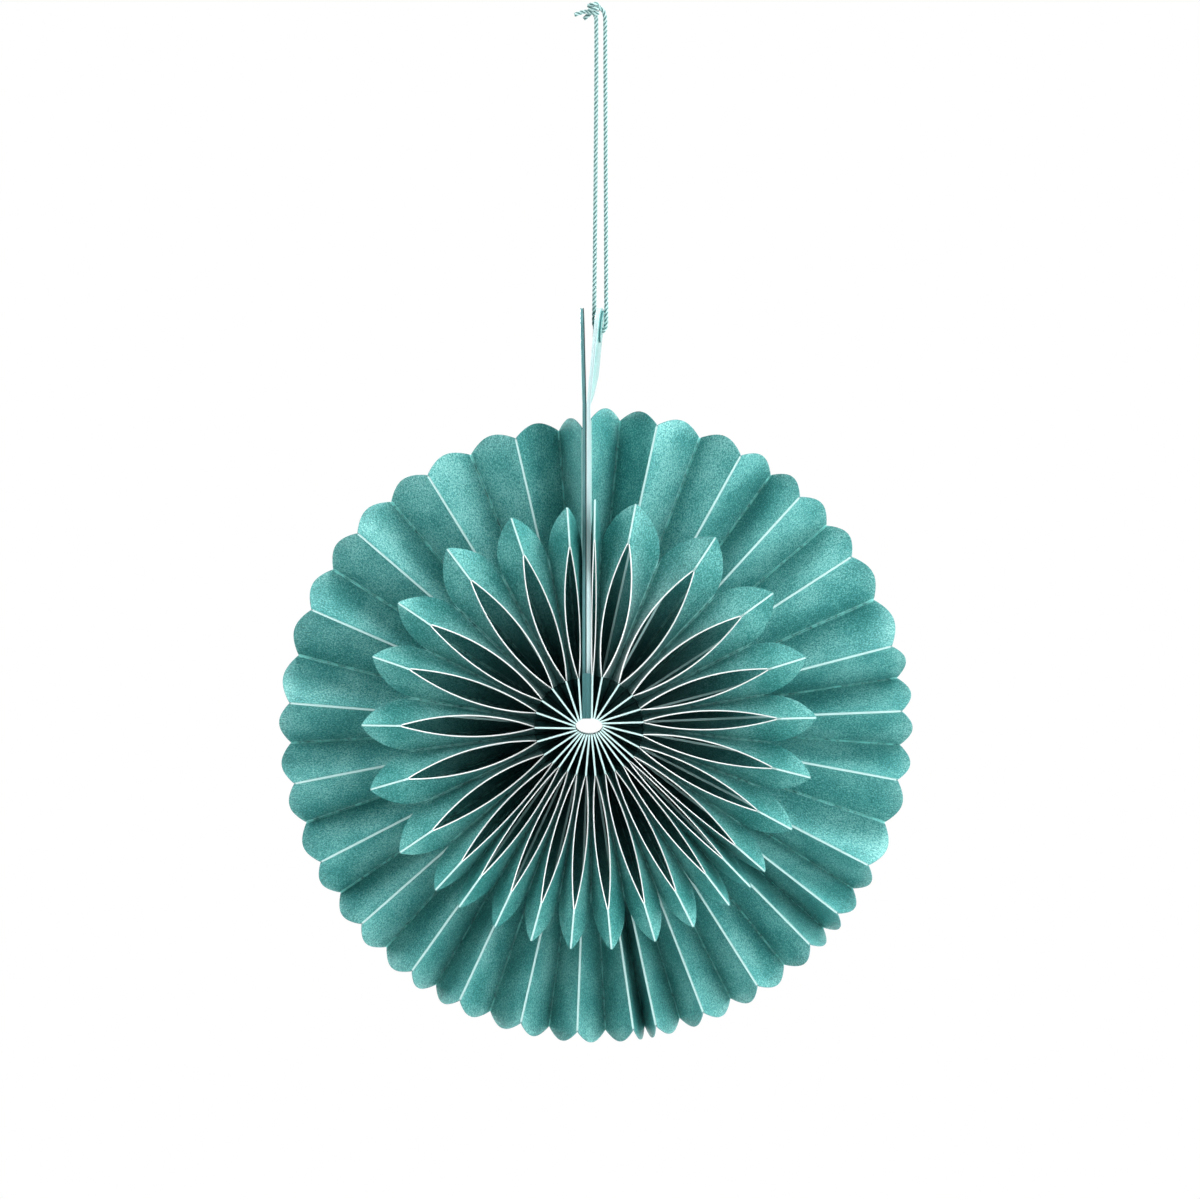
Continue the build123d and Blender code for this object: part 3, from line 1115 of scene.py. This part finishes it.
@dataclass
class Studio:
    """The camera straight in front, a white floor well below, and soft lamps all round; in metres and watts."""

    distance: float = 2.4
    view_width: float = 0.3768
    look_x: float = -0.00029
    look_z: float = -0.1848
    floor_z: float = -0.62
    floor_glow: float = 0.9
    wash_mm: float = 1000 / 3
    ambient: float = 0.02
    sensor: float = 36.0
    # name, place, side and power of each lamp, and whether glossy surfaces show it
    lamps: tuple = (
        ("right_front_lamp", (1.1, -1.1, 0.2), 0.7, 10.0, True),
        ("right_side_lamp", (1.35, 0.2, 0.0), 0.7, 8.5, True),
        ("low_right_lamp", (1.15, -0.35, -0.55), 0.5, 6.5, True),
        ("low_front_lamp", (0.9, -1.1, -0.6), 0.6, 6.5, True),
        ("top_lamp", (0.0, -0.2, 1.1), 0.7, 10.0, True),
        ("upper_right_lamp", (0.8, -0.3, 0.75), 0.7, 14.0, True),
        ("upper_left_lamp", (-1.0, -0.5, 0.45), 0.7, 10.0, True),
        ("left_side_lamp", (-1.35, 0.2, 0.0), 0.6, 5.5, True),
        ("back_left_lamp", (-0.35, 1.55, 0.25), 0.5, 17.0, True),
        # the coated tab would mirror this one straight into the camera
        ("back_right_lamp", (0.4, 1.5, 0.1), 0.5, 8.0, False),
    )

    def camera(self) -> None:
        """Set the camera at the photograph's angle and scale."""
        bpy.ops.object.camera_add(
            location=(self.look_x, -self.distance, self.look_z), rotation=(math.pi / 2, 0.0, 0.0))
        camera = bpy.context.object
        camera.name = "photo_camera"
        camera.data.sensor_width = self.sensor
        camera.data.lens = self.sensor * self.distance / self.view_width
        camera.data.dof.use_dof = False
        bpy.context.scene.camera = camera

    def light(self) -> None:
        """Add the square soft lamps, each turned to the fan."""
        for name, place, size, power, mirrored in self.lamps:
            bpy.ops.object.light_add(type="AREA", location=place)
            lamp = bpy.context.object
            lamp.name = name
            lamp.data.shape = "SQUARE"
            lamp.data.size = size
            lamp.data.energy = power
            lamp.visible_glossy = mirrored
            aim = Vector((0.0, 0.0, RIM_CENTRE.z * MM)) - Vector(place)
            lamp.rotation_euler = aim.to_track_quat("-Z", "Y").to_euler()

    def seen(self, tree: NodeTree) -> NodeSocket:
        """A socket that is 1 where a surface is seen or mirrored, and 0 where it only lights something."""
        path = add_node(tree, "ShaderNodeLightPath").outputs
        mirrored = calc(tree, "MAXIMUM", path["Is Glossy Ray"], path["Is Transmission Ray"])
        return calc(tree, "MAXIMUM", path["Is Camera Ray"], mirrored)

    def world(self) -> None:
        """White where it is seen or mirrored, and a soft even light elsewhere."""
        world = bpy.data.worlds.new("studio_white")
        bpy.context.scene.world = world
        world.use_nodes = True
        tree = world.node_tree
        tree.nodes.clear()
        soft, white = (
            add_node(tree, "ShaderNodeBackground", None, {"Color": linear("#ffffff"), "Strength": strength})
            for strength in (self.ambient, 1.0))
        mix = add_node(tree, "ShaderNodeMixShader", None, {
            0: self.seen(tree), 1: soft.outputs[0], 2: white.outputs[0]})
        add_node(tree, "ShaderNodeOutputWorld", None, {"Surface": mix.outputs[0]})

    def floor(self) -> None:
        """Lay the floor below the hanging fan, short enough behind to stay out of the view."""
        bpy.ops.mesh.primitive_plane_add(size=2.0, location=(0.0, -0.45, self.floor_z))
        floor = bpy.context.object
        floor.name = "studio_floor"
        bpy.ops.object.transform_apply(location=True, rotation=True, scale=True)
        material, tree, shader = new_material("matt_white_floor")
        wash = noise(tree, self.wash_mm, 2.0)
        fill(tree, shader, {"Base Color": mixed(tree, wash, "#f1f1f0", "#f6f6f5"), "Roughness": 0.9})
        # the floor's corners lie beyond the lamps, so most of its white is its own where it is seen
        glow = add_node(tree, "ShaderNodeEmission", None, {"Color": linear("#ffffff"), "Strength": 1.0})
        mix = add_node(tree, "ShaderNodeMixShader", None, {
            0: calc(tree, "MULTIPLY", self.seen(tree), self.floor_glow),
            1: shader.outputs["BSDF"], 2: glow.outputs["Emission"]})
        tree.links.new(mix.outputs[0], tree.get_output_node("CYCLES").inputs["Surface"])
        floor.data.materials.append(material)

    def build(self) -> None:
        """Set up the whole studio."""
        bpy.context.scene.view_settings.view_transform = "Standard"
        self.camera()
        self.world()
        self.floor()
        self.light()


def main() -> None:
    """Build every piece in order and report it."""
    Studio().build()
    made = HangingCord().build(TwistedCotton().material())
    # each layer's painted shade towards the hub has its own start, end and darkest share
    rear_paper = PearlPaper("pearl_paper_rear", inner_mm=14.0, outer_mm=70.0, hub_shade_kept=0.2).material()
    petal_paper = PearlPaper(
        "pearl_paper_petals", deep="#206f6c", body="#3a8f8c", pale="#74b9b5",
        inner_mm=18.0, outer_mm=66.0, hub_shade_kept=0.13).material()
    # the rear's outer cut takes a darker tint than the petals', partly the coat's tint and partly painted shade
    # along the scallops' outline
    rear_core = PaperCore("cut_core_rear", straight="#b2d8d6", outer="#5c8d8e").material()
    petal_core = PaperCore("cut_core_petals", straight="#c2e4e2").material()
    cover = PearlPaper("pearl_cover_paper", trimmed=False, coat=1.0).material()
    # painted shade: a darker board for the cards' cut edges below the step, near the hub, and for the patches' edges
    # beside the cord
    low_edge_shade = GreyBoard(name="board_foot_painted_shade", dark="#2a5d5f", pale="#3f7678").material()
    left_board = GreyBoard().material()
    # painted light: a paler copy of the grey board for the right card, lighter as the card that catches the lamps
    board_painted_lit = GreyBoard(name="grey_board_painted_lit", dark="#b3d1d4", pale="#d2e6e8").material()
    # painted shadow: a near-black finish for the left card's inner cut edge, for the shade in the gap between the
    # cards
    gap_shadow = GreyBoard(name="painted_gap_shadow", dark="#081716", pale="#122b2a").material()
    rear = RearLayer(
        "rear_sheets", "rear_fan", "rear_paper", middle=7.75, width=20.0, end_depth=16.0,
        reach=93.0, rows=18, first_ridge=0, left_drop=2.8, drop_arc=(300.0, 342.0), columns=26, thickness=0.32)
    petals = PetalLayer(
        "petal_sheets", "petal_fan", "petal_paper", middle=-10.25, width=15.0, end_depth=12.5,
        reach=67.6, rows=10, first_ridge=1, left_drop=2.3, drop_arc=(320.0, 352.0))
    made += [rear.build(rear_paper, rear_core), petals.build(petal_paper, petal_core)]
    left = CoverCard(Side.LEFT, "left_cover", "left_card", lean=-1.4, twist=-1.2)
    right = CoverCard(Side.RIGHT, "right_cover", "right_card", lean=5.4, twist=4.8)
    made.append(left.build(cover, left_board, low_edge_shade, gap_shadow))
    made.append(right.build(cover, board_painted_lit, low_edge_shade, board_painted_lit))
    for piece in made:
        piece.data.calc_loop_triangles()
        log.info("%s: %d triangles", piece.name, len(piece.data.loop_triangles))


if __name__ == "__main__":
    main()
